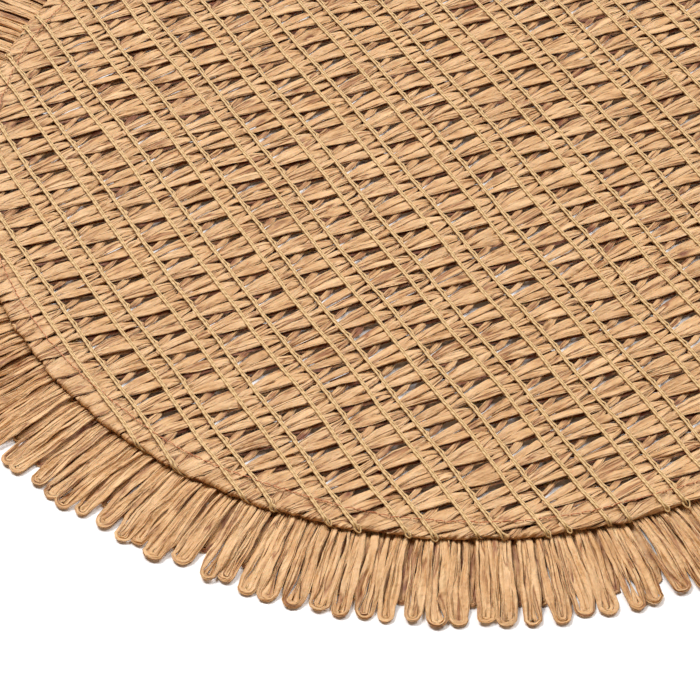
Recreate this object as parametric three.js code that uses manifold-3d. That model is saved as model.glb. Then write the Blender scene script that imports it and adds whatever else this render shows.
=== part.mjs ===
// Round paper string placemat: an open woven disc of flat paper string with its hem turned
// under, laid over a fringe of flattened paper loops that is sewn on beneath the hem.
// Millimetres, +Z up. The origin is the centre of the underside, and the mat lies flat.

import * as THREE from "three";
import { mergeVertices } from "three/addons/utils/BufferGeometryUtils.js";
import Module from "manifold-3d";

// Driving dimensions

const CLOTH_RADIUS = 159.4;
const FRINGE_REACH = 30.6;
const PIECE_GAP = 0.3;
const RIM_FACETS = 96;

// The weave: chain stitches in pairs run across the mat, and paper string lies between them.
const WEAVE_TURN = THREE.MathUtils.degToRad(30.3);
const PAIR_PITCH = 17.62;
const PAIR_WIDTH = 6.1;
const FIRST_PAIR = -7.5;
const CHAIN_HALF_WIDTH = 0.7;
const SHEET_TOP = 1.5;
const PAIR_TOP = 1.9;
const CHAIN_TOP = 2.5;
const CLEAR_OF_WEAVE = 2 * CHAIN_TOP;

// The gaps of the open weave, half as large again as the real ones and as much further apart.
const GAP_COARSENING = 1.5;
const ROW_PITCH = 9.11 * GAP_COARSENING;
const GAP_TALL_END = 3.5 * GAP_COARSENING;
const GAP_SHORT_END = 2.3 * GAP_COARSENING;
const GAP_TO_CHAIN = 0.25;
const GAP_SLANT = 0.8;

// The hem lies on the head of the fringe, so the cloth steps up at its rim.
const HEM_WIDTH = 8.4;
const HEM_UNDERSIDE = 1.9;
const HEM_RAMP = 2.6;
const HEM_TOP = 3.7;
const HEM_EDGE_BEVEL = 0.6;
const RAMP_UNDERSIDE = SHEET_TOP / 2;
const RAMP_FOOT_TOP = SHEET_TOP + 0.1;

// The fringe: a narrow head, and a flattened loop of string at each pitch.
const HEAD_TOP = HEM_UNDERSIDE - PIECE_GAP;
const HEAD_OUTER_RADIUS = CLOTH_RADIUS - 1.2;
const LOOP_COUNT = 170;
const LOOP_BEVEL = 0.45;
const LOOP_LEAN = THREE.MathUtils.degToRad(6.5);
const LOOP_SHORTEST = 0.86;

// How lean and length waver from loop to loop: radians for each loop, and where the waver starts
const LEAN_WAVER = { step: 0.222, start: 0.6 };
const LEAN_SWELL = { step: 0.074, start: 0.9 };
const LENGTH_WAVER = { step: 2.31, start: 0.4 };

// Along a loop, from its root in the head to its rounded tip.
const LOOP_STATIONS = [
  { share: -0.08, halfWidth: 2.3, top: 1.5 },
  { share: 0.86, halfWidth: 2.75, top: 1.8 },
  { share: 1.0, halfWidth: 1.35, top: 1.3 },
];

// The paper string and the finish of each piece
const clothPaper = new THREE.MeshStandardMaterial({ color: 0xdcb582, roughness: 0.8, metalness: 0 });
const fringePaper = new THREE.MeshStandardMaterial({ color: 0xd6a873, roughness: 0.8, metalness: 0 });

const wasm = await Module();
wasm.setup();

// A closed three.js geometry as a solid that can be joined and cut
function toSolid(geometry) {
  const bare = geometry.index ? geometry.toNonIndexed() : geometry.clone();
  bare.deleteAttribute("normal");
  bare.deleteAttribute("uv");
  const merged = mergeVertices(bare, 1e-4);
  const vertProperties = new Float32Array(merged.attributes.position.array);
  const triVerts = new Uint32Array(merged.index.array);
  return new wasm.Manifold(new wasm.Mesh({ numProp: 3, vertProperties, triVerts }));
}

// A solid's triangles as a geometry for a mesh
function toGeometry(solid) {
  const { vertProperties, triVerts } = solid.getMesh();
  const geometry = new THREE.BufferGeometry();
  geometry.setAttribute("position", new THREE.BufferAttribute(new Float32Array(vertProperties), 3));
  geometry.setIndex(new THREE.BufferAttribute(new Uint32Array(triVerts), 1));
  return geometry;
}

// A ring or disc turned about Z from [radius, height] corners, anticlockwise with radius to the right
function turned(corners) {
  const closed = [...corners, corners[0]].map(([radius, height]) => new THREE.Vector2(radius, height));
  const lathe = new THREE.LatheGeometry(closed, RIM_FACETS);
  return toSolid(lathe.rotateX(Math.PI / 2));
}

// The distance across the chains of each pair that crosses the mat
function pairStarts() {
  const firstIndex = Math.ceil((-CLOTH_RADIUS - PAIR_WIDTH - FIRST_PAIR) / PAIR_PITCH);
  const lastIndex = Math.floor((CLOTH_RADIUS - FIRST_PAIR) / PAIR_PITCH);
  const starts = [];
  for (let index = firstIndex; index <= lastIndex; index += 1) {
    starts.push(FIRST_PAIR + index * PAIR_PITCH);
  }
  return starts;
}

// The ribbed slab of the weave: its section across the chains, carried along them
function ribbedSlab() {
  const reach = CLOTH_RADIUS + PAIR_PITCH;
  const section = new THREE.Shape();
  section.moveTo(reach, 0);
  section.lineTo(reach, SHEET_TOP);
  for (const start of pairStarts().reverse()) {
    const end = start + PAIR_WIDTH;
    section.lineTo(end + CHAIN_HALF_WIDTH, SHEET_TOP);
    section.lineTo(end, CHAIN_TOP);
    section.lineTo(end - CHAIN_HALF_WIDTH, PAIR_TOP);
    section.lineTo(start + CHAIN_HALF_WIDTH, PAIR_TOP);
    section.lineTo(start, CHAIN_TOP);
    section.lineTo(start - CHAIN_HALF_WIDTH, SHEET_TOP);
  }
  section.lineTo(-reach, SHEET_TOP);
  section.lineTo(-reach, 0);
  const slab = new THREE.ExtrudeGeometry(section, { depth: 2 * reach, bevelEnabled: false });
  slab.translate(0, 0, -reach);
  slab.rotateX(Math.PI / 2);
  slab.rotateZ(WEAVE_TURN);
  return toSolid(slab);
}

// The gaps of the weave that lie wholly inside the hem, as one cutter of many prisms
function gapCutter() {
  const inner = CLOTH_RADIUS - HEM_WIDTH - HEM_RAMP;
  const shapes = [];
  for (const start of pairStarts()) {
    const left = start + PAIR_WIDTH + CHAIN_HALF_WIDTH + GAP_TO_CHAIN;
    const right = start + PAIR_PITCH - CHAIN_HALF_WIDTH - GAP_TO_CHAIN;
    const rows = Math.ceil(CLOTH_RADIUS / ROW_PITCH);
    for (let row = -rows; row < rows; row += 1) {
      const middle = (row + 0.5) * ROW_PITCH;
      const corners = [
        new THREE.Vector2(left, middle - GAP_TALL_END / 2),
        new THREE.Vector2(right, middle - GAP_SHORT_END / 2 + GAP_SLANT),
        new THREE.Vector2(right, middle + GAP_SHORT_END / 2 + GAP_SLANT),
        new THREE.Vector2(left, middle + GAP_TALL_END / 2),
      ];
      if (corners.every((corner) => corner.length() < inner)) {
        shapes.push(new THREE.Shape(corners));
      }
    }
  }
  const cutter = new THREE.ExtrudeGeometry(shapes, { depth: 2 * CLEAR_OF_WEAVE, bevelEnabled: false });
  cutter.translate(0, 0, -CLEAR_OF_WEAVE);
  cutter.rotateZ(WEAVE_TURN);
  return toSolid(cutter);
}

// The cloth: the gapped disc in the middle and the raised hem round it, as one solid
function clothGeometry() {
  const hemInner = CLOTH_RADIUS - HEM_WIDTH;
  const middleDisc = turned([
    [0, 0],
    [hemInner, 0],
    [hemInner, CLEAR_OF_WEAVE],
    [0, CLEAR_OF_WEAVE],
  ]);
  const hem = turned([
    [hemInner - HEM_RAMP, RAMP_UNDERSIDE],
    [hemInner, RAMP_UNDERSIDE],
    [hemInner, HEM_UNDERSIDE],
    [CLOTH_RADIUS - HEM_EDGE_BEVEL, HEM_UNDERSIDE],
    [CLOTH_RADIUS, (HEM_UNDERSIDE + HEM_TOP) / 2],
    [CLOTH_RADIUS - HEM_EDGE_BEVEL, HEM_TOP],
    [hemInner, HEM_TOP],
    [hemInner - HEM_RAMP, RAMP_FOOT_TOP],
  ]);
  const middle = ribbedSlab().intersect(middleDisc).subtract(gapCutter());
  return toGeometry(middle.add(hem));
}

// A waver between -1 and 1 that differs from loop to loop, the same on every run
function waver(index, { step, start }) {
  return Math.sin(index * step + start);
}

// One loop of the fringe, pressed flat: a bevelled outline from root to tip, level underneath
function loopGeometry(index) {
  const angle = (index / LOOP_COUNT) * 2 * Math.PI;
  const lean = LOOP_LEAN * waver(index, LEAN_WAVER) * waver(index, LEAN_SWELL);
  const shortening = (1 - LOOP_SHORTEST) * (0.5 + 0.5 * waver(index, LENGTH_WAVER));
  const length = FRINGE_REACH * (1 - shortening);
  const left = LOOP_STATIONS.map(({ share, halfWidth, top }) => ({ share, side: halfWidth, top }));
  const right = LOOP_STATIONS.map(({ share, halfWidth, top }) => ({ share, side: -halfWidth, top }));
  const outline = [...right, ...left.reverse()];
  const points = [];
  for (const { share, side } of outline) {
    points.push(new THREE.Vector3(share * length, side, 0));
  }
  for (const { share, side, top } of outline) {
    const inset = share === 1 ? LOOP_BEVEL : 0;
    points.push(new THREE.Vector3(share * length - inset, side - Math.sign(side) * LOOP_BEVEL, top));
  }
  const root = new THREE.Vector3(CLOTH_RADIUS, 0, 0);
  const up = new THREE.Vector3(0, 0, 1);
  points.forEach((point) => point.applyAxisAngle(up, lean).add(root).applyAxisAngle(up, angle));
  const count = outline.length;
  const faces = [];
  for (let corner = 0; corner < count; corner += 1) {
    const next = (corner + 1) % count;
    faces.push([corner, next, count + next], [corner, count + next, count + corner]);
  }
  for (let span = 0; span < LOOP_STATIONS.length - 1; span += 1) {
    const [a, b, c, d] = [span, span + 1, count - 2 - span, count - 1 - span];
    faces.push([a, d, c], [a, c, b]);
    faces.push([count + a, count + b, count + c], [count + a, count + c, count + d]);
  }
  const geometry = new THREE.BufferGeometry();
  geometry.setFromPoints(faces.flat().map((corner) => points[corner]));
  return geometry;
}

// The fringe: its head beneath the hem, with the roots of all loops fused into it
function fringeGeometry() {
  const head = turned([
    [CLOTH_RADIUS - HEM_WIDTH + PIECE_GAP, 0],
    [HEAD_OUTER_RADIUS, 0],
    [HEAD_OUTER_RADIUS, HEAD_TOP],
    [CLOTH_RADIUS - HEM_WIDTH + PIECE_GAP, HEAD_TOP],
  ]);
  const loops = [];
  for (let index = 0; index < LOOP_COUNT; index += 1) {
    loops.push(toSolid(loopGeometry(index)));
  }
  return toGeometry(loops.reduce((joined, loop) => joined.add(loop), head));
}

const placemat = new THREE.Group();

const cloth = new THREE.Mesh(clothGeometry(), clothPaper);
cloth.name = "mat_cloth";
placemat.add(cloth);

const fringe = new THREE.Mesh(fringeGeometry(), fringePaper);
fringe.name = "loop_fringe";
placemat.add(fringe);

export default placemat;
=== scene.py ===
"""A round paper string placemat, dressed: its woven paper ribbons, chain stitches, turned hem and looped fringe.

Sizes in the classes are in millimetres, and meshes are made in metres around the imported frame. The cloth is laid out
flat first, in its own coordinates: `across` runs over the chain stitches to the right and `up` runs along them, away
from the front edge. One function then lays that flat cloth on the table and rolls its hem under.
"""

import logging
import math
from dataclasses import dataclass, field
from enum import Enum
from typing import NamedTuple

import bpy
import numpy as np
from bpy.types import ID, Material, Node, NodeSocket, NodeTree, Object
from numpy.typing import NDArray
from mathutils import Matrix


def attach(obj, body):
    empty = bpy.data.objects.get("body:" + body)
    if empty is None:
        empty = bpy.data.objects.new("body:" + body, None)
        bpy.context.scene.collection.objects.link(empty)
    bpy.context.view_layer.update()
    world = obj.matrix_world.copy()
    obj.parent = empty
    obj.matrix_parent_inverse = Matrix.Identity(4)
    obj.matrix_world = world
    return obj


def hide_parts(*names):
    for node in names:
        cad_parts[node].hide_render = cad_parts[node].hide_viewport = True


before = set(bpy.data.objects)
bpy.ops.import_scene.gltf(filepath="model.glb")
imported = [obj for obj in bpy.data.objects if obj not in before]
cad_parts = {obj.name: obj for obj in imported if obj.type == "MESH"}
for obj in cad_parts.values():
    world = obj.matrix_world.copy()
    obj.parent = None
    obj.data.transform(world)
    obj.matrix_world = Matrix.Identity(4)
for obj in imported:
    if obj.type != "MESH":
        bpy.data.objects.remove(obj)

Array = NDArray[np.float64]
Numbers = NDArray[np.int64]
Chance = np.random.Generator
Inputs = dict[str | int, object]
Pieces = dict[str, Object]
Pair = tuple[float, float]
Triple = tuple[float, float, float]

MM = 0.001
TURN = 2.0 * math.pi
SEED = 4151
# Points along a ribbon where it is tested against the cloth's edge and its fold
CURVE_POINTS = 61
# How far apart the UV maps of tubes lie whose tones differ by 1
UV_APART_MM = (97.0, 291.0)
# Round a flat ribbon, for each millimetre of half its width
RIBBON_GIRTH = 4.6
# Powers of the cosine and of the sine that fill out the corners of a tube's oval section
SECTION_FILL = (0.8, 0.5)
log = logging.getLogger("placemat")


# Numbers and curves


def smooth_step(value: Array, start: float, end: float) -> Array:
    """A soft rise from 0 at start to 1 at end, level at both: x squared times (3 - 2 x)."""
    x = np.clip((value - start) / (end - start), 0.0, 1.0)
    return x * x * (3.0 - 2.0 * x)


def through(stations: Array, values: Array, at: Array) -> Array:
    """A smooth curve through values at stations.

    Each span is a cubic whose slopes at its ends are those of the chord between the neighbouring stations.

    Args:
        stations: rising positions of the known values.
        values: the known values.
        at: the positions wanted, of any shape.

    Returns:
        The curve's values at those positions.
    """
    slopes = np.gradient(values, stations)
    span = np.clip(np.searchsorted(stations, at) - 1, 0, len(stations) - 2)
    length = stations[span + 1] - stations[span]
    x = np.clip((at - stations[span]) / length, 0.0, 1.0)
    rise = smooth_step(x, 0.0, 1.0)
    ends = (1.0 - rise) * values[span] + rise * values[span + 1]
    bends = x * (1.0 - x) * ((1.0 - x) * slopes[span] - x * slopes[span + 1]) * length
    return ends + bends


def spread_rings(density: Array, count: int) -> Array:
    """Positions along each ribbon that stand closer together where the density is higher.

    Args:
        density: the density at even steps along each ribbon, shaped (ribbons, steps).
        count: how many positions each ribbon gets.

    Returns:
        Shares of the length from 0 to 1, shaped (ribbons, count).
    """
    between = 0.5 * (density[:, 1:] + density[:, :-1])
    sums = np.concatenate([np.zeros((len(density), 1)), np.cumsum(between, axis=1)], axis=1)
    sums /= sums[:, -1:]
    wanted = np.linspace(0.0, 1.0, count)
    below = np.clip((sums[:, :, None] <= wanted).sum(axis=1) - 1, 0, density.shape[1] - 2)
    start = np.take_along_axis(sums, below, axis=1)
    end = np.take_along_axis(sums, below + 1, axis=1)
    return (below + (wanted - start) / (end - start)) / (density.shape[1] - 1)


def measured_along(path: Array) -> Array:
    """The distance travelled along each path of points, from 0 at its first point."""
    steps = np.linalg.norm(np.diff(path, axis=1), axis=2)
    return np.concatenate([np.zeros((len(path), 1)), np.cumsum(steps, axis=1)], axis=1)


def round_path(radius: Array | float, angle: Array) -> Array:
    """Points at a radius and an angle round the middle of the mat."""
    return np.stack([radius * np.cos(angle), radius * np.sin(angle)], axis=-1)


class Wave(NamedTuple):
    """A smooth unevenness along strings: its size, and its longest and shortest wavelength in millimetres."""

    size: float
    longest: float
    shortest: float

    def draw(self, chance: Chance, along: Array) -> Array:
        """Draws the unevenness, different on each string.

        It is the mean of two sines whose wavelengths and phases are drawn for each string, times the size.

        Args:
            chance: the seeded source of random numbers.
            along: positions along each string in millimetres, one row for each.

        Returns:
            An array shaped like along.
        """
        wave = np.zeros_like(along)
        for _ in range(2):
            wavelength = chance.uniform(self.shortest, self.longest, (len(along), 1))
            phase = chance.uniform(0.0, TURN, (len(along), 1))
            wave += 0.5 * np.sin(TURN * along / wavelength + phase)
        return self.size * wave


class Folds(NamedTuple):
    """The creases of a paper string.

    Attributes:
        swell: how far each lane of its face swells and sinks, softly along it.
        rare: the threshold of a second such wave of size 1, past which the lane drops into a sharp valley.
        valley: how deep the valley is for each unit past the threshold.
        crumple: spread of a small shift at each point.
    """

    swell: Wave
    rare: float
    valley: float = 4.6
    crumple: float = 0.24

    def draw(self, chance: Chance, along: Array, lanes: int) -> Array:
        """Draws how far each point of the strings is pushed up or down. The edges and the underside stay put.

        Args:
            chance: the seeded source of random numbers.
            along: positions along each string in millimetres, shaped (strings, rings).
            lanes: points round the section, of which the last is underneath.

        Returns:
            An array shaped (strings, rings, lanes), from about 1 down to about -2.
        """
        pushed = np.zeros((*along.shape, lanes))
        second = self.swell._replace(size=1.0)
        for lane in range(1, lanes - 2):
            sunk = np.maximum(second.draw(chance, along) - self.rare, 0.0)
            crumple = chance.normal(0.0, self.crumple, along.shape)
            pushed[..., lane] = self.swell.draw(chance, along) + crumple - self.valley * sunk
        return pushed


# Meshes


def ribbon_section(around: int) -> Array:
    """Angles of the points of a flat ribbon's section: all but one spread over its face, and one beneath it."""
    return np.append(np.linspace(math.pi, 0.0, around - 1), -math.pi / 2.0)


def thread_section(around: int) -> Array:
    """Angles of the points of a thread's section, evenly spread."""
    return math.pi - TURN * np.arange(around) / around


def carry(
    path: Array, height: Array, half_width: Array, half_depth: Array, roll: Array, section: Array, crease: Array | float
) -> Array:
    """A flattened section carried along each path.

    At each point of a path the section is an oval with its corners filled out, which a power of the cosine and of
    the sine does: its width lies level and across the path, its depth stands upright, and the whole is rolled about
    the path. A crease moves a point of the section up or down.

    Args:
        path: level points of each path, shaped (tubes, rings, 2).
        height: height of the section's middle, shaped (tubes, rings).
        half_width: half the section's width, shaped (tubes, rings).
        half_depth: half its depth, shaped (tubes, rings).
        roll: roll about the path in radians, shaped (tubes, rings).
        section: angles of the points round the section.
        crease: upward shift of each point, shaped (tubes, rings, points round), or one number.

    Returns:
        Points shaped (tubes, rings, points round, 3).
    """
    run = np.gradient(path, axis=1)
    run /= np.maximum(np.linalg.norm(run, axis=2, keepdims=True), 1e-9)
    side = np.stack([run[..., 1], -run[..., 0]], axis=-1)
    out, rise = np.cos(section), np.sin(section)
    out = np.sign(out) * np.abs(out) ** SECTION_FILL[0]
    rise = np.sign(rise) * np.abs(rise) ** SECTION_FILL[1]
    wide = half_width[..., None] * out
    deep = half_depth[..., None] * rise + crease
    level = wide * np.cos(roll)[..., None] - deep * np.sin(roll)[..., None]
    upright = wide * np.sin(roll)[..., None] + deep * np.cos(roll)[..., None]
    points = path[:, :, None, :] + side[:, :, None, :] * level[..., None]
    return np.concatenate([points, (height[..., None] + upright)[..., None]], axis=-1)


def carry_thread(path: Array, height: Array, radius: Array | float, around: int) -> Array:
    """A round thread carried along each path.

    Args:
        path: level points of each path, shaped (tubes, rings, 2).
        height: height of the thread's middle, shaped (tubes, rings).
        radius: its radius, in the same shape or one number.
        around: points round its section.

    Returns:
        Points shaped (tubes, rings, points round, 3).
    """
    level = np.zeros_like(height)
    return carry(path, height, level + radius, level + radius, level, thread_section(around), 0.0)


def new_object(name: str, data: ID) -> Object:
    """A new object in the scene, at the origin."""
    made = bpy.data.objects.new(name, data)
    bpy.context.scene.collection.objects.link(made)
    return made


@dataclass
class Bundle:
    """Many closed tubes of one section each, gathered for one mesh.

    Attributes:
        chance: the seeded source of each tube's tone, a number that tells it from the others.
        points: vertex arrays in millimetres.
        quads: four vertex numbers for each side face.
        caps: vertex numbers of each end face.
        quad_uvs: one pair for each corner of quads: millimetres round the section and along the tube.
        cap_uvs: one pair for each corner of caps.
        tones: its tube's tone for each vertex.
        creases: one number for each vertex, below 0 in a crease, and lower where painted shade is added.
        lanes: the place of each vertex round its section.
    """

    chance: Chance
    points: list[Array] = field(default_factory=list)
    quads: list[Numbers] = field(default_factory=list)
    caps: list[Numbers] = field(default_factory=list)
    quad_uvs: list[Array] = field(default_factory=list)
    cap_uvs: list[Array] = field(default_factory=list)
    tones: list[Array] = field(default_factory=list)
    creases: list[Array] = field(default_factory=list)
    lanes: list[Numbers] = field(default_factory=list)
    count: int = 0

    def add(self, rings: Array, along: Array, girth: Array | float, crease: Array | None = None) -> None:
        """Adds tubes given by the points of their rings. Each tube's UV map is moved apart by its tone.

        Args:
            rings: points shaped (tubes, rings, points round, 3), in millimetres.
            along: millimetres along each tube, shaped (tubes, rings).
            girth: millimetres round each tube, shaped (tubes,), or one number.
            crease: depth of crease at each point, with any painted shade added, shaped (tubes, rings, points round).
        """
        tubes, steps, around, _ = rings.shape
        tone = self.chance.normal(0.0, 1.0, tubes)
        number = self.count + np.arange(tubes * steps * around).reshape(tubes, steps, around)
        turned = np.roll(number, -1, axis=2)
        sides = [number[:, :-1], turned[:, :-1], turned[:, 1:], number[:, 1:]]
        self.quads.append(np.stack(sides, axis=-1).reshape(-1, 4))
        self.caps += [number[:, 0, ::-1], number[:, -1]]
        apart = np.array(UV_APART_MM) * tone[:, None, None, None]
        measures = [
            np.reshape(girth, (-1, 1, 1)) * np.arange(around + 1) / around + np.zeros((tubes, steps, 1)),
            along[:, :, None] + np.zeros((1, 1, around + 1)),
        ]
        uv = apart + np.stack(measures, axis=-1)
        corners = [uv[:, :-1, :-1], uv[:, :-1, 1:], uv[:, 1:, 1:], uv[:, 1:, :-1]]
        self.quad_uvs.append(np.stack(corners, axis=-2).reshape(-1, 2))
        self.cap_uvs += [uv[:, 0, :-1][:, ::-1].reshape(-1, 2), uv[:, -1, :-1].reshape(-1, 2)]
        self.points.append(rings.reshape(-1, 3))
        self.tones.append(np.repeat(tone, steps * around))
        self.creases.append(np.zeros(tubes * steps * around) if crease is None else crease.reshape(-1))
        self.lanes.append(np.tile(np.arange(around), tubes * steps))
        self.count += tubes * steps * around

    def build(self, name: str, material: Material, slot: str, folded: bool) -> Object:
        """Makes one smooth shaded object of all tubes, in metres.

        Args:
            name: the piece's name.
            material: its finish.
            slot: not used.
            folded: whether the tubes have sharp folds along their length, as creased paper has.

        Returns:
            The object, at the origin and riding on the root body.
        """
        quads = np.concatenate(self.quads)
        sizes = np.concatenate([np.full(len(quads), 4)] + [np.full(len(c), c.shape[1]) for c in self.caps])
        corners = np.concatenate([quads.reshape(-1)] + [c.reshape(-1) for c in self.caps])
        points = np.concatenate(self.points) * MM
        mesh = bpy.data.meshes.new(name)
        mesh.vertices.add(len(points))
        mesh.vertices.foreach_set("co", points.astype(np.float32).reshape(-1))
        mesh.loops.add(len(corners))
        mesh.loops.foreach_set("vertex_index", corners.astype(np.int32))
        mesh.polygons.add(len(sizes))
        mesh.polygons.foreach_set("loop_start", np.concatenate([[0], np.cumsum(sizes)[:-1]]).astype(np.int32))
        mesh.polygons.foreach_set("use_smooth", np.ones(len(sizes), bool))
        mesh.update(calc_edges=True)
        uv = np.concatenate(self.quad_uvs + self.cap_uvs)
        mesh.uv_layers.new(name="lay").uv.foreach_set("vector", uv.astype(np.float32).reshape(-1))
        for label, values in (("tone", self.tones), ("crease", self.creases)):
            marks = mesh.attributes.new(label, "FLOAT", "POINT").data
            marks.foreach_set("value", np.concatenate(values).astype(np.float32))
        if folded:
            ends = np.empty(2 * len(mesh.edges), np.int32)
            mesh.edges.foreach_get("vertices", ends)
            lanes = np.concatenate(self.lanes)[ends].reshape(-1, 2)
            sharp = mesh.attributes.new("sharp_edge", "BOOLEAN", "EDGE")
            sharp.data.foreach_set("value", lanes[:, 0] == lanes[:, 1])
        mesh.materials.append(material)
        piece = new_object(name, mesh)
        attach(piece, "root")
        return piece


def build_pieces(bundles: dict[str, Bundle], material: Material, slot: str, folded: bool) -> Pieces:
    """Makes one object of each bundle, by its name, all of one finish."""
    return {name: bundle.build(name, material, slot, folded) for name, bundle in bundles.items()}


# Finishes


def linear(colour: str) -> tuple[float, float, float, float]:
    """An sRGB hex colour such as "d8b080" as the linear colour that shaders take."""
    channels = [int(colour[i : i + 2], 16) / 255.0 for i in (0, 2, 4)]
    bent = [c / 12.92 if c <= 0.04045 else ((c + 0.055) / 1.055) ** 2.4 for c in channels]
    return (bent[0], bent[1], bent[2], 1.0)


def new_finish(name: str) -> tuple[Material, NodeTree, Node]:
    """A new material, its node tree and its shader."""
    material = bpy.data.materials.new(name)
    material.use_nodes = True
    return material, material.node_tree, material.node_tree.nodes["Principled BSDF"]


def feed(tree: NodeTree, node: Node, inputs: Inputs) -> None:
    """Gives a node's inputs, by name or number, what they are to hold, or the output that is linked to them."""
    for socket, given in inputs.items():
        if isinstance(given, NodeSocket):
            tree.links.new(given, node.inputs[socket])
        else:
            node.inputs[socket].default_value = given


def add_node(tree: NodeTree, kind: str, inputs: Inputs | None = None, **settings: object) -> Node:
    """Adds a node, sets what it is given and links its inputs.

    Args:
        tree: the material's node tree.
        kind: the node's type name.
        inputs: inputs, by name or number, and their values or the outputs that feed them.
        settings: attributes of the node itself.

    Returns:
        The new node.
    """
    made = tree.nodes.new(kind)
    for name, setting in settings.items():
        setattr(made, name, setting)
    feed(tree, made, inputs or {})
    return made


@dataclass(frozen=True)
class PaperString:
    """Kraft paper twisted to a string and opened flat again: matt, with sharp creases along its length.

    A crease is painted as a thin brown line that wanders along the string: painted shade in the crease, where the bump
    also dips. The paper between creases is pale and smooth, with faint crinkles across it. Fine lines and crinkles are
    drawn coarser than they are, so that they show. The colours run from deep through base to light, and the crease mark
    moves them toward deep as painted shade. Each pattern has its size across and along the string.
    """

    name: str
    deep: str
    painted_crease_shade: str
    base: str
    light: str
    deep_at: float = 0.1
    base_at: float = 0.34
    light_at: float = 0.7
    crease_mm: Pair = (3.8, 70.0)
    line_mm: Pair = (1.3, 26.0)
    cloud_mm: Pair = (2.4, 8.0)
    crinkle_mm: Pair = (1.0, 2.2)
    crease_width: float = 0.02
    line_width: float = 0.05
    line_share: float = 0.22
    crease_depth_mm: float = 0.32
    crinkle_depth_mm: float = 0.55
    tone_share: float = 0.05
    painted_shade_share: float = 0.05
    roughness: float = 0.6
    specular: float = 0.4
    glow: float = 0.15
    glow_mm: float = 0.3
    glow_colour: Triple = (1.0, 0.42, 0.15)

    def noise(self, tree: NodeTree, across_mm: float, along_mm: float) -> NodeSocket:
        """A noise on the piece's own UV map, in cells of the given size across and along the string."""
        uv = add_node(tree, "ShaderNodeUVMap", uv_map="lay")
        cells = {"Vector": uv.outputs["UV"], "Scale": (1.0 / across_mm, 1.0 / along_mm, 1.0)}
        placed = add_node(tree, "ShaderNodeMapping", cells)
        values = {"Vector": placed.outputs["Vector"], "Scale": 1.0, "Detail": 2.0, "Roughness": 0.5}
        return add_node(tree, "ShaderNodeTexNoise", values).outputs["Fac"]

    def open_paper(self, tree: NodeTree, noise: NodeSocket, width: float) -> NodeSocket:
        """1 on open paper, and down to 0 in a crease, which runs wherever the noise passes through one half."""
        above = add_node(tree, "ShaderNodeMath", {0: noise, 1: 0.5}, operation="SUBTRACT")
        away = add_node(tree, "ShaderNodeMath", {0: above.outputs[0]}, operation="ABSOLUTE")
        return add_node(tree, "ShaderNodeMapRange", {"Value": away.outputs[0], "From Max": width}).outputs["Result"]

    def build(self) -> Material:
        """The material: creases, clouds and crinkles, tinted by each string's tone and by the painted shade of its
        crease mark.
        """
        material, tree, shader = new_finish(self.name)
        wide = self.open_paper(tree, self.noise(tree, *self.crease_mm), self.crease_width)
        fine = self.open_paper(tree, self.noise(tree, *self.line_mm), self.line_width)
        part = add_node(tree, "ShaderNodeMath", {0: fine, 1: self.line_share}, operation="MULTIPLY")
        both = {0: wide, 1: 1.0 - self.line_share, 2: part.outputs[0]}
        relief = add_node(tree, "ShaderNodeMath", both, operation="MULTIPLY_ADD").outputs[0]
        shade = self.noise(tree, *self.cloud_mm)
        # The crease mark is painted shade: darker in creases, at the hem's fold and on strings in shadow, a little
        # lighter on swells.
        for name, share in (("tone", self.tone_share), ("crease", self.painted_shade_share)):
            mark = add_node(tree, "ShaderNodeAttribute", attribute_name=name)
            shaded = {0: mark.outputs["Fac"], 1: share, 2: shade}
            shade = add_node(tree, "ShaderNodeMath", shaded, operation="MULTIPLY_ADD").outputs[0]
        ramp = add_node(tree, "ShaderNodeValToRGB", {"Fac": shade})
        stops = ramp.color_ramp.elements
        stops[0].position, stops[0].color = self.deep_at, linear(self.deep)
        stops[1].position, stops[1].color = self.light_at, linear(self.light)
        stops.new(self.base_at).color = linear(self.base)
        # The crease lines take a darker brown: painted shade in the creases.
        colours = {"Factor": relief, 6: linear(self.painted_crease_shade), 7: ramp.outputs["Color"]}
        painted = add_node(tree, "ShaderNodeMix", colours, data_type="RGBA")
        creases = {"Height": relief, "Distance": self.crease_depth_mm * MM}
        creased = add_node(tree, "ShaderNodeBump", creases).outputs["Normal"]
        crinkles = {"Height": self.noise(tree, *self.crinkle_mm), "Normal": creased}
        crinkled = add_node(tree, "ShaderNodeBump", crinkles | {"Distance": self.crinkle_depth_mm * MM})
        looks = {
            "Base Color": painted.outputs[2],
            "Normal": crinkled.outputs["Normal"],
            "Roughness": self.roughness,
            "Specular IOR Level": self.specular,
            "Subsurface Weight": self.glow,
            "Subsurface Radius": self.glow_colour,
            "Subsurface Scale": self.glow_mm * MM,
        }
        feed(tree, shader, looks)
        return material


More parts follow.
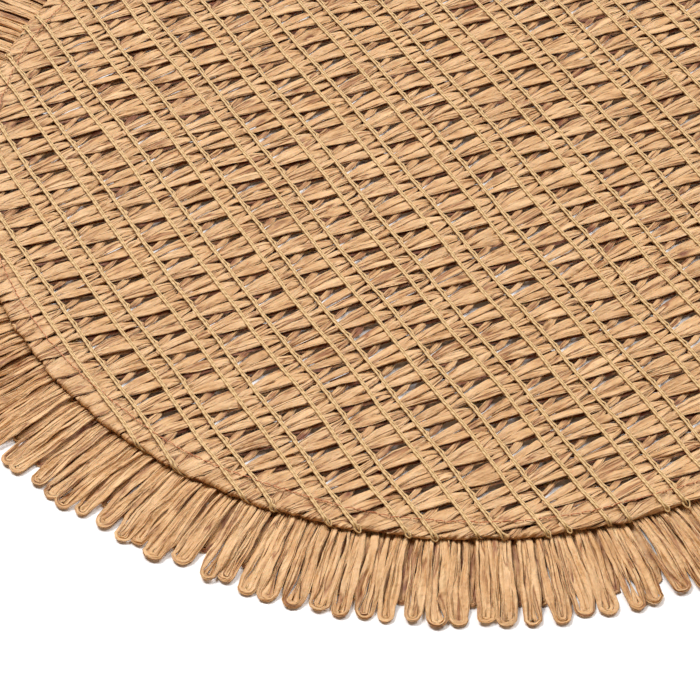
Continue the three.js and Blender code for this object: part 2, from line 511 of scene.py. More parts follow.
@dataclass(frozen=True)
class PliedThread:
    """Spun sewing thread: two plies laid round each other, with a soft sheen.

    The plies of the chain thread are drawn coarser than they are, and the groove between them is painted darker as
    painted shade. At band_scale the wave makes one band for each lay.
    """

    name: str
    painted_groove_shade: str
    crown: str
    painted_groove_shade_at: float = 0.05
    crown_at: float = 0.7
    lay_mm: float = 1.1
    band_scale: float = 0.31
    ragged: float = 0.6
    relief_mm: float = 0.05
    roughness: float = 0.5
    sheen: float = 0.2

    def build(self) -> Material:
        """The material: slanting bands of the ply, pale on the crown and painted darker in the groove, as painted
        shade.
        """
        material, tree, shader = new_finish(self.name)
        uv = add_node(tree, "ShaderNodeUVMap", uv_map="lay")
        lays = {"Vector": uv.outputs["UV"], "Scale": (1.0 / self.lay_mm, 1.0 / self.lay_mm, 1.0)}
        placed = add_node(tree, "ShaderNodeMapping", lays)
        wave = {"Vector": placed.outputs["Vector"], "Scale": self.band_scale, "Distortion": self.ragged, "Detail": 2.0}
        bands = add_node(tree, "ShaderNodeTexWave", wave, bands_direction="DIAGONAL").outputs["Fac"]
        ramp = add_node(tree, "ShaderNodeValToRGB", {"Fac": bands})
        stops = ramp.color_ramp.elements
        stops[0].position, stops[0].color = self.painted_groove_shade_at, linear(self.painted_groove_shade)
        stops[1].position, stops[1].color = self.crown_at, linear(self.crown)
        bump = add_node(tree, "ShaderNodeBump", {"Height": bands, "Distance": self.relief_mm * MM})
        looks = {
            "Base Color": ramp.outputs["Color"],
            "Normal": bump.outputs["Normal"],
            "Roughness": self.roughness,
            "Sheen Weight": self.sheen,
        }
        feed(tree, shader, looks)
        return material


@dataclass(frozen=True)
class TableTop:
    """A smooth matt white table, with a very faint grain in its shine."""

    name: str = "white_table"
    colour: str = "f2f1f1"
    grain_scale: float = 400.0
    roughness: Pair = (0.6, 0.7)

    def build(self) -> Material:
        """The material: near white, with a roughness that barely varies."""
        material, tree, shader = new_finish(self.name)
        place = add_node(tree, "ShaderNodeTexCoord")
        cells = {"Vector": place.outputs["Object"], "Scale": self.grain_scale}
        grain = add_node(tree, "ShaderNodeTexNoise", cells).outputs["Fac"]
        low, high = self.roughness
        spread = add_node(tree, "ShaderNodeMapRange", {"Value": grain, "To Min": low, "To Max": high})
        feed(tree, shader, {"Roughness": spread.outputs["Result"], "Base Color": linear(self.colour)})
        return material


# The cloth


class Drift(NamedTuple):
    """A long, low wave over the cloth: its size, the millimetres for a radian across and up, and its start."""

    size: float
    across: float
    up: float
    start: float

    def at(self, across: Array, up: Array) -> Array:
        """The wave at places on the cloth: the size times the sine of across and up, each over its length."""
        return self.size * np.sin(across / self.across + up / self.up + self.start)


@dataclass(frozen=True)
class ClothPlan:
    """The flat cloth and the way it lies.

    Attributes:
        turn_deg: turn of the weave on the table.
        first_pair, first_row: places of one left chain and of one row of gaps, from the middle.
        cut_radius: radius that the cloth was cut to, hem included.
        fold_radius: radius where the hem rolls under.
        bays: size, count and start of the waves of that fold round the rim, where ribbons are drawn in.
        roll: radius of the hem's roll, at the middle of the cloth's thickness.
        turn_length: length of flat cloth that goes round the roll.
        hem_press: share of its thickness that the turned hem loses.
        middle: height of the cloth's middle above its underside.
        rise: radii where the cloth begins to climb onto the fringe and where it has climbed.
        clearance: mean height of the cloth's underside above the table, inside the rim.
        ripple: how far that height swings, as woven paper never lies quite flat. Its two lengths and starts follow.
        rim_base: height of the cloth's underside at the rim, where it lies on its own turned hem and the fringe.
        drift_across, drift_up: how far hand and loom have drifted from the plan.
    """

    turn_deg: float = 30.3
    pair_pitch: float = 17.62
    pair_width: float = 6.1
    first_pair: float = -7.5
    row_pitch: float = 9.13
    first_row: float = -4.4
    cut_radius: float = 168.0
    fold_radius: float = 158.3
    bays: tuple[Triple, ...] = ((0.3, 37.0, 0.0), (0.25, 83.0, 1.0))
    roll: float = 0.42
    turn_length: float = 2.4
    hem_press: float = 0.45
    least_arm: float = 0.03
    middle: float = 0.75
    rise: Pair = (143.0, 151.5)
    clearance: float = 1.1
    ripple: float = 0.5
    ripple_across: Pair = (31.0, 0.5)
    ripple_up: Pair = (36.0, 1.3)
    rim_base: float = 2.0
    drift_across: tuple[Drift, ...] = (Drift(0.32, 47.0, 21.0, 0.8), Drift(0.22, -14.0, 9.5, 2.1))
    drift_up: tuple[Drift, ...] = (Drift(0.35, 13.0, 38.0, 0.3), Drift(0.22, 6.1, 25.0, 0.0))

    def chains(self) -> tuple[Array, Array]:
        """The places of the left chains and of the right chains across the cloth."""
        first = math.ceil((-self.cut_radius - self.pair_width - self.first_pair) / self.pair_pitch)
        last = math.floor((self.cut_radius - self.first_pair) / self.pair_pitch)
        left = self.first_pair + self.pair_pitch * np.arange(first, last + 1)
        return left, left + self.pair_width

    def fold(self, angle: Array) -> Array:
        """The radius of the fold at an angle: the mean radius plus a few sines of the angle."""
        radius = self.fold_radius + np.zeros_like(angle)
        for size, times, start in self.bays:
            radius += size * np.sin(times * angle + start)
        return radius

    def lay(self, points: Array) -> Array:
        """Lays points of the flat cloth on the table.

        A point keeps its drifted place and its height above the cloth's underside as far as the fold. The underside
        climbs onto the fringe near the rim. Past the fold the cloth turns round an arc of half a circle, where a
        point's height is its distance from the arc, and then runs back level, upside down and pressed thinner.

        Args:
            points: across, up and height in the last axis, in millimetres.

        Returns:
            Points in the frame's axes, in millimetres.
        """
        planned = points[..., 0], points[..., 1]
        across = planned[0] + sum(wave.at(*planned) for wave in self.drift_across)
        up = planned[1] + sum(wave.at(*planned) for wave in self.drift_up)
        radius = np.maximum(np.hypot(across, up), 1e-6)
        fold = self.fold(np.arctan2(up, across))
        past = np.maximum(radius - fold, 0.0)
        bend = math.pi * np.minimum(past / self.turn_length, 1.0)
        tucked = np.maximum(past - self.turn_length, 0.0)
        thickness = 1.0 - self.hem_press * bend / math.pi
        arm = np.maximum(self.roll + (points[..., 2] - self.middle) * thickness, self.least_arm)
        reach = np.minimum(radius, fold) + arm * np.sin(bend) - tucked
        (length_across, start_across), (length_up, start_up) = self.ripple_across, self.ripple_up
        ripple = self.ripple * np.sin(across / length_across + start_across) * np.sin(up / length_up + start_up)
        flat = self.clearance + ripple
        base = flat + (self.rim_base - flat) * smooth_step(radius, *self.rise)
        height = base + self.middle - self.roll + arm * np.cos(bend)
        return self.turned(np.stack([reach * across / radius, reach * up / radius, height], axis=-1))

    def turned(self, points: Array) -> Array:
        """Turns points given across and up the weave into the frame's axes."""
        turn = math.radians(self.turn_deg)
        x = points[..., 0] * math.cos(turn) - points[..., 1] * math.sin(turn)
        y = points[..., 0] * math.sin(turn) + points[..., 1] * math.cos(turn)
        return np.stack([x, y, points[..., 2]], axis=-1)


class Ply(Enum):
    """The ribbons that repeat in each row of the weave, from one right chain to the next."""

    UPPER = "upper ribbon of the fan"
    LOWER = "lower ribbon of the fan"
    MIDDLE = "short ribbon between the fans, inside a pair of chains"
    PILLOW = "short ribbon beside a gap, inside a pair of chains"
    BACK = "ribbon that crosses the gap at the back"
    # Its dark colour is painted shade along the gap's far edge.
    UNDER = "ribbon at the back of the fan, seen along the gap's far edge"
    GAP_TURN = "turn of the string round a right chain, beside a gap"
    ROW_TURN = "turn of the string round a right chain, beside a fan"


class Run(NamedTuple):
    """Places along a ribbon: from the right chain, below the row of gaps, its width there and its height."""

    across: Array
    down: Array
    width: Array
    height: Array


class PlyShape(NamedTuple):
    """How the ribbons of one ply are made.

    Attributes:
        steps: spans along a ribbon.
        around: points round its section.
        shade: painted shade, how much darker it is painted where it lies in shadow, as a depth of crease.
        stations: places along it, each with the numbers of a Run.
    """

    steps: int
    around: int
    shade: float
    stations: tuple[tuple[float, float, float, float], ...]

    def at(self, share: Array) -> Run:
        """The ribbon at shares of its length: smooth curves through the stations, which are evenly spread."""
        spots = np.linspace(0.0, 1.0, len(self.stations))
        return Run(*(through(spots, column, share) for column in np.array(self.stations).T))


# A ply's shade is painted shade: the back and under ribbons and the turns beside gaps are painted darker where they lie
# in shadow.
PLIES: dict[Ply, PlyShape] = {
    Ply.UPPER: PlyShape(8, 8, 0.0, (
        (-0.5, 4.05, 1.5, 0.70), (1.3, 3.80, 2.6, 1.10), (6.0, 3.42, 3.5, 1.34),
        (10.2, 3.05, 3.4, 1.12), (11.5, 2.85, 3.1, 0.80), (13.0, 2.60, 2.8, 1.00),
        (15.6, 2.10, 2.1, 0.86), (17.6, 1.40, 1.4, 0.62), (18.4, 1.00, 1.1, 0.55),
    )),
    Ply.LOWER: PlyShape(8, 8, 0.0, (
        (-0.5, 5.35, 1.3, 0.65), (1.3, 5.80, 2.1, 0.95), (6.0, 6.42, 3.2, 1.22),
        (10.2, 6.95, 3.4, 1.10), (11.5, 7.10, 3.1, 0.80), (13.0, 7.32, 2.8, 0.97),
        (15.6, 7.80, 2.0, 0.84), (17.6, 8.40, 1.5, 0.62), (18.4, 8.75, 1.1, 0.55),
    )),
    Ply.MIDDLE: PlyShape(6, 7, 0.0, (
        (3.5, 4.80, 1.3, 0.30), (10.5, 4.90, 2.0, 0.45), (12.4, 5.00, 2.0, 0.98),
        (14.8, 5.05, 2.5, 1.36), (16.7, 4.90, 2.4, 1.15), (18.0, 4.75, 1.3, 0.60),
    )),
    Ply.PILLOW: PlyShape(5, 7, 0.0, (
        (11.0, 0.00, 0.9, 0.50), (12.4, 0.00, 1.7, 0.98), (14.2, 0.05, 2.1, 1.22),
        (16.0, 0.10, 1.6, 0.95), (17.4, 0.20, 0.8, 0.50),
    )),
    Ply.BACK: PlyShape(8, 7, 3.0, (
        (-0.3, 1.70, 1.0, 0.70), (1.2, 1.10, 1.7, 0.88), (3.8, 0.30, 2.3, 0.78), (6.3, -1.10, 1.8, 0.45),
        (9.0, -2.30, 1.8, 0.32), (12.5, -3.10, 2.2, 0.30), (17.8, -3.65, 2.9, 0.30),
    )),
    Ply.UNDER: PlyShape(5, 5, 8.0, (
        (-0.3, 6.30, 1.5, 0.45), (3.0, 7.00, 2.1, 0.35), (7.0, 7.50, 2.4, 0.30),
        (11.0, 8.15, 2.4, 0.30), (15.0, 9.90, 2.4, 0.32), (17.9, 11.70, 2.2, 0.35),
    )),
    Ply.GAP_TURN: PlyShape(5, 6, 1.5, (
        (-0.4, 1.70, 0.9, 0.95), (0.6, 1.25, 1.1, 1.20), (1.1, 0.45, 1.1, 1.15),
        (0.6, -0.40, 0.9, 0.95), (-0.5, -0.80, 0.8, 0.70),
    )),
    Ply.ROW_TURN: PlyShape(5, 6, 0.0, (
        (0.5, 3.50, 0.9, 0.85), (-0.5, 4.00, 1.1, 1.20), (-0.95, 4.80, 1.1, 1.22),
        (-0.5, 5.60, 1.0, 1.10), (0.6, 6.10, 0.9, 0.80),
    )),
}

WOVEN_PIECES: dict[str, tuple[Ply, ...]] = {
    "woven_fans": (Ply.UPPER, Ply.LOWER),
    "back_ribbons": (Ply.BACK, Ply.UNDER),
    "short_ribbons": (Ply.MIDDLE, Ply.PILLOW),
    "string_turns": (Ply.GAP_TURN, Ply.ROW_TURN),
}


@dataclass
class WovenRibbons:
    """The paper string of the weave, opened flat.

    A slant, shift or spread is the spread of a ribbon's draws. In the hem, press_ values are the shares that the
    pressed ribbon gains in width, and loses in height, thickness and creases. A ribbon that goes round the fold has
    fold_steps more spans, and its rings stand up to fold_rings times closer there.
    """

    plan: ClothPlan
    finish: PaperString
    chance: Chance
    half_depth: float = 0.27
    full_half_width: float = 1.1
    depth_limits: Pair = (0.75, 1.1)
    slant: float = 0.16
    shift: float = 0.14
    height_spread: float = 0.09
    roll_spread: float = 0.08
    width_spread: float = 0.09
    width_limits: Pair = (0.75, 1.25)
    height_wave: Wave = Wave(0.05, 12.0, 5.0)
    width_wave: Wave = Wave(0.1, 12.0, 5.0)
    roll_wave: Wave = Wave(0.18, 18.0, 7.0)
    folds: Folds = Folds(Wave(0.6, 30.0, 10.0), 0.42)
    crease: float = 0.2
    creased_half_width: float = 1.3
    least_crease: float = 0.35
    least_share: float = 0.12
    fold_margin: float = 1.5
    fold_steps: int = 5
    fold_rings: float = 5.0
    # Painted shade on the hem's rolled edge, as a depth of crease, over these millimetres past the fold.
    fold_painted_shade: float = 3.5
    fold_painted_shade_from: Pair = (0.5, 1.4)
    press: Pair = (145.0, 153.0)
    press_width: float = 0.45
    press_height: float = 0.22
    press_depth: float = 0.2
    press_crease: float = 0.5

    def cells(self) -> tuple[Array, Array]:
        """The right chain and the row of gaps that each cell of the weave is measured from."""
        _, right = self.plan.chains()
        right = np.concatenate([[right[0] - self.plan.pair_pitch], right])
        rows = math.ceil(self.plan.cut_radius / self.plan.row_pitch) + 1
        row = self.plan.first_row + self.plan.row_pitch * np.arange(-rows, rows + 1)
        across, up = np.meshgrid(right, row, indexing="ij")
        return across.reshape(-1), up.reshape(-1)

    def add(self, bundle: Bundle, shape: PlyShape) -> None:
        """Adds the ribbons of one ply, each cut off at the cloth's round edge.

        A ribbon that goes round the fold of the hem has more spans, which lie close together there.
        """
        across0, up0 = self.cells()
        share = np.linspace(0.0, 1.0, CURVE_POINTS)
        run = shape.at(share)
        radius = np.hypot(across0[:, None] + run.across, up0[:, None] - run.down)
        inside = radius < self.plan.cut_radius
        first, last = share[inside.argmax(axis=1)], share[::-1][inside[:, ::-1].argmax(axis=1)]
        kept = inside.any(axis=1) & (last - first > self.least_share)
        farthest = np.where(inside, radius, 0.0).max(axis=1)
        folded = (farthest > self.plan.fold_radius - self.fold_margin) & kept
        for chosen, steps in ((kept & ~folded, shape.steps), (folded, shape.steps + self.fold_steps)):
            cell = np.stack([across0[chosen], up0[chosen], first[chosen], last[chosen]], axis=0)[..., None]
            self.add_ribbons(bundle, shape, cell, steps)

    def add_ribbons(self, bundle: Bundle, shape: PlyShape, cell: Array, steps: int) -> None:
        """Adds ribbons along the curve of one ply.

        A ribbon's middle line, width and height are smooth curves through the ply's stations. Each ribbon is moved,
        slanted, widened and rolled a little by its own draws, and pressed flatter in the hem.

        Args:
            bundle: what gathers them.
            shape: the ply.
            cell: across and up of each ribbon's cell, and the shares of the ply where it starts and ends.
            steps: spans along a ribbon.
        """
        across0, up0, first, last = cell
        chance, each = self.chance, (len(across0), 1)
        run = shape.at(first + (last - first) * np.linspace(0.0, 1.0, CURVE_POINTS))
        radius = np.hypot(across0 + run.across, up0 - run.down)
        past_fold = (radius - self.plan.fold_radius - 0.5 * self.plan.turn_length) / self.plan.turn_length
        density = 1.0 + self.fold_rings * np.exp(-(past_fold**2))
        share = first + (last - first) * spread_rings(density, steps + 1)
        run = shape.at(share)
        slant = chance.normal(0.0, self.slant, each) * (share - 0.5) + chance.normal(0.0, self.shift, each)
        path = np.stack([across0 + run.across, up0 - run.down + slant], axis=-1)
        along = measured_along(path)
        height = run.height + self.height_wave.draw(chance, along)
        height += chance.normal(0.0, self.height_spread, each)
        half = 0.5 * run.width * np.clip(chance.normal(1.0, self.width_spread, each), *self.width_limits)
        half = half * (1.0 + self.width_wave.draw(chance, along))
        roll = chance.normal(0.0, self.roll_spread, each) + self.roll_wave.draw(chance, along)
        pressed = smooth_step(np.hypot(path[..., 0], path[..., 1]), *self.press)
        half = half * (1.0 + self.press_width * pressed)
        height = height * (1.0 - self.press_height * pressed)
        depth = self.half_depth * np.clip(half / self.full_half_width, *self.depth_limits)
        depth = depth * (1.0 - self.press_depth * pressed)
        creases = self.folds.draw(chance, along, shape.around)
        fade = np.clip(half / self.creased_half_width, self.least_crease, 1.0) * (1.0 - self.press_crease * pressed)
        shifts = self.crease * fade[..., None] * creases
        rings = carry(path, height, half, depth, roll, ribbon_section(shape.around), shifts)
        # The crease mark paints shade: darker in creases, past the fold and on plies that lie in shadow.
        past = np.hypot(rings[..., 0], rings[..., 1]) - self.plan.fold_radius
        painted_shade_depths = creases - self.fold_painted_shade * smooth_step(past, *self.fold_painted_shade_from) - shape.shade
        bundle.add(self.plan.lay(rings), along, RIBBON_GIRTH * half.mean(axis=1), painted_shade_depths)

    def build(self) -> Pieces:
        """The pieces of paper string: the fans, the ribbons behind them, and the short ribbons and turns."""
        bundles = {name: Bundle(self.chance) for name in WOVEN_PIECES}
        for name, plies in WOVEN_PIECES.items():
            for ply in plies:
                self.add(bundles[name], PLIES[ply])
        return build_pieces(bundles, self.finish.build(), "paper_string", folded=True)


@dataclass
class ChainStitches:
    """The chain stitches that hold the ribbons: two legs side by side on the face, with a third thread between.

    The legs draw together at each link, and at each gap the right chain's outer leg is pulled aside by the string.
    A wander has its size, the millimetres for a radian, and its start for each millimetre across. The end_ values
    are those of the small loops in which about half of the chains end.
    """

    plan: ClothPlan
    finish: PliedThread
    chance: Chance
    leg_radius: float = 0.25
    spread: float = 0.1
    pinch: float = 0.3
    height: float = 1.43
    middle_height: float = 1.28
    under_height: float = 0.28
    links_per_row: int = 2
    steps_per_link: int = 4
    middle_steps: int = 2
    link_power: int = 6
    link_rise: float = 0.1
    link_swell: float = 0.12
    wander: tuple[Triple, ...] = ((0.1, 7.3, 1.0), (0.07, 2.9, 2.0))
    swing_wave: Wave = Wave(0.03, 6.0, 3.0)
    level_wave: Wave = Wave(0.03, 12.0, 5.0)
    hold_at_rim: float = 3.5
    least_reach: float = 6.0
    knot_pull: float = 0.45
    knot_length: float = 0.8
    end_share: float = 0.55
    end_span: float = 0.93
    end_radius: float = 0.85
    end_sizes: Pair = (0.7, 1.2)
    end_points: int = 13
    end_egg: float = 0.3
    end_length: float = 1.3
    end_height: float = 3.15
    end_slope: float = 0.45
    end_tilt: float = 0.15

    def add_leg(self, bundle: Bundle, place: float, side: int, height: float, steps: int, knots: float = 0.0) -> None:
        """Adds one leg of the chain at one place.

        A side leg swings out from the chain's middle between links and back in at them, as the size of a sine does,
        and rises a little at each link.

        Args:
            bundle: what gathers them.
            place: the chain's place across the cloth.
            side: -1 or 1 for the leg left or right of the middle, 0 for the one on it.
            height: height of the leg's middle above the cloth's underside.
            steps: steps along the leg for each link.
            knots: how far it is pulled aside at each row of gaps.
        """
        row = self.plan.row_pitch
        end = self.plan.fold_radius + self.hold_at_rim
        if abs(place) >= end - self.least_reach:
            return
        half = math.sqrt(end**2 - place**2)
        link = row / self.links_per_row
        up = np.linspace(-half, half, math.ceil(2.0 * half * steps / link))[None, :]
        phase = math.pi * (up - self.plan.first_row) / link
        bend = sum(size * np.sin(up / length + start * place) for size, length, start in self.wander)
        from_gap = (up - self.plan.first_row + 0.5 * row) % row - 0.5 * row
        pull = knots * np.exp(-((from_gap / self.knot_length) ** 2))
        swing = self.pinch + self.spread * np.abs(np.sin(phase)) + self.swing_wave.draw(self.chance, up)
        at_link = np.cos(phase) ** self.link_power
        path = np.stack([place + bend + side * swing + pull, up], axis=-1)
        level = height + self.link_rise * at_link + self.level_wave.draw(self.chance, up)
        thick = self.leg_radius * (1.0 + self.link_swell * at_link)
        rings = carry_thread(path, level, thick, around=5 if side else 4)
        bundle.add(self.plan.lay(rings), up - up.min(), TURN * self.leg_radius)

    def add_end_loops(self, bundle: Bundle, places: Array) -> None:
        """Adds the small loops in which some chains end, which lie over the rim on the fringe.

        Each is a ring whose width is a sine of the angle that is egg-shaped by its cosine, and it slopes down outwards.
        """
        places = places[np.abs(places) < self.end_span * self.plan.fold_radius]
        ends = np.stack([np.concatenate([places, places]), np.repeat([-1.0, 1.0], len(places))], axis=1)
        ends = ends[self.chance.uniform(0.0, 1.0, len(ends)) < self.end_share]
        place, way = ends[:, :1], ends[:, 1:]
        angle = np.linspace(0.0, TURN, self.end_points)[None, :]
        size = self.end_radius * self.chance.uniform(*self.end_sizes, (len(ends), 1))
        across = place + size * np.sin(angle) * (1.0 + self.end_egg * np.cos(angle))
        outwards = size * (1.0 - self.end_length * np.cos(angle))
        path = np.stack([across, way * (np.sqrt(self.plan.fold_radius**2 - place**2) + outwards)], axis=-1)
        height = self.end_height - self.end_slope * np.abs(outwards) + self.end_tilt * np.sin(angle)
        rings = carry_thread(path, height, self.leg_radius, around=5)
        bundle.add(self.plan.turned(rings), measured_along(path), TURN * self.leg_radius)

    def build(self) -> Pieces:
        """The chains on the face of the cloth with their end loops, and the thread that runs under each."""
        face, under = Bundle(self.chance), Bundle(self.chance)
        left, right = self.plan.chains()
        places = np.concatenate([left, right])
        for place in places:
            pull = self.knot_pull if place in right else 0.0
            self.add_leg(face, float(place), -1, self.height, self.steps_per_link)
            self.add_leg(face, float(place), 1, self.height, self.steps_per_link, pull)
            self.add_leg(face, float(place), 0, self.middle_height, self.middle_steps)
            self.add_leg(under, float(place), 0, self.under_height, self.middle_steps)
        self.add_end_loops(face, places)
        bundles = {"chain_stitch": face, "chain_under": under}
        return build_pieces(bundles, self.finish.build(), "chain_thread", folded=False)


@dataclass
class HemSewing:
    """The line of reddish stitches that holds the hem, inside the rim.

    A wander has its size, its count round the rim and its start.
    """

    plan: ClothPlan
    finish: PliedThread
    chance: Chance
    line_radius: float = 152.9
    wander: tuple[Triple, ...] = ((0.7, 3.0, 0.4), (0.4, 11.0, 0.0))
    shift: float = 0.1
    slant: float = 0.12
    pitch: float = 3.3
    length: float = 2.9
    thread_radius: float = 0.14
    stitch_points: int = 6
    height: float = 1.72
    dip: float = 0.35

    def build(self) -> Pieces:
        """The stitches: short threads in a ring, whose ends dip into the cloth as the fourth power of the way along."""
        count = round(TURN * self.line_radius / self.pitch)
        run = np.linspace(-1.0, 1.0, self.stitch_points)[None, :]
        angle = TURN * np.arange(count)[:, None] / count + 0.5 * run * self.length / self.line_radius
        radius = self.line_radius + sum(size * np.sin(times * angle + start) for size, times, start in self.wander)
        radius = radius + self.chance.normal(0.0, self.shift, (count, 1))
        path = round_path(radius + self.chance.normal(0.0, self.slant, (count, 1)) * run, angle)
        height = self.height - self.dip * run**4 + np.zeros_like(angle)
        rings = carry_thread(path, height, self.thread_radius, around=6)
        stitches = Bundle(self.chance)
        stitches.add(self.plan.lay(rings), measured_along(path), TURN * self.thread_radius)
        return build_pieces({"hem_stitches": stitches}, self.finish.build(), "hem_thread", folded=False)


# The fringe


class Strand(Enum):
    """The strings that make each loop of the fringe."""

    OUTER = "the hairpin that gives the loop its outline"
    INNER = "the hairpin inside it, which fills the rest of its width"
    BETWEEN = "the string that lies beneath two neighbouring loops"


class StrandShape(NamedTuple):
    """How one strand of a loop is shaped, in millimetres.

    Attributes:
        outside: how much of its side of the loop lies outside a leg's outer edge: shares of fixed and of split width.
        inside: how much of it lies outside the leg's inner edge, given in the same way.
        tip_apart: half the distance between the legs where the tip begins.
        tip_half_width: half the string's width round the tip.
        short: how much shorter the strand is than the loop.
        half_depth: half its depth.
        level: height of its middle.
        shift: how far round it is moved, in loops.
        shade: painted shade, how much darker it is painted where it lies in shadow, as a depth of crease.
        leg_steps: spans along a leg.
        around: points round its section.
    """

    outside: Pair
    inside: Pair
    tip_apart: float
    tip_half_width: float
    short: float
    half_depth: float
    level: float
    shift: float
    shade: float
    leg_steps: int
    around: int


# The string between the loops is painted darker: painted shade beneath its neighbours.
STRANDS: dict[Strand, StrandShape] = {
    Strand.OUTER: StrandShape((0.0, 0.0), (0.0, 1.0), 2.25, 0.65, 0.7, 0.3, 1.35, 0.0, 0.0, 12, 9),
    Strand.INNER: StrandShape((-0.03, 1.0), (1.06, 0.0), 0.72, 0.85, 1.85, 0.27, 1.0, 0.0, 0.0, 11, 7),
    Strand.BETWEEN: StrandShape((0.02, 0.0), (1.06, 0.0), 1.0, 0.9, 8.0, 0.22, 0.35, 0.5, 4.5, 5, 6),
}


class Loops(NamedTuple):
    """What each loop draws once for all its strands, one row for each loop.

    The nose is the length of its tip for half the distance between its legs, the band is the share of the string's
    width round the tip, and the splits are the shares of each side that the outer string takes.
    """

    place: Array
    reach: Array
    lean: Array
    bow: Array
    fullness: Array
    lift: Array
    nose: Array
    band: Array
    left_split: Array
    right_split: Array


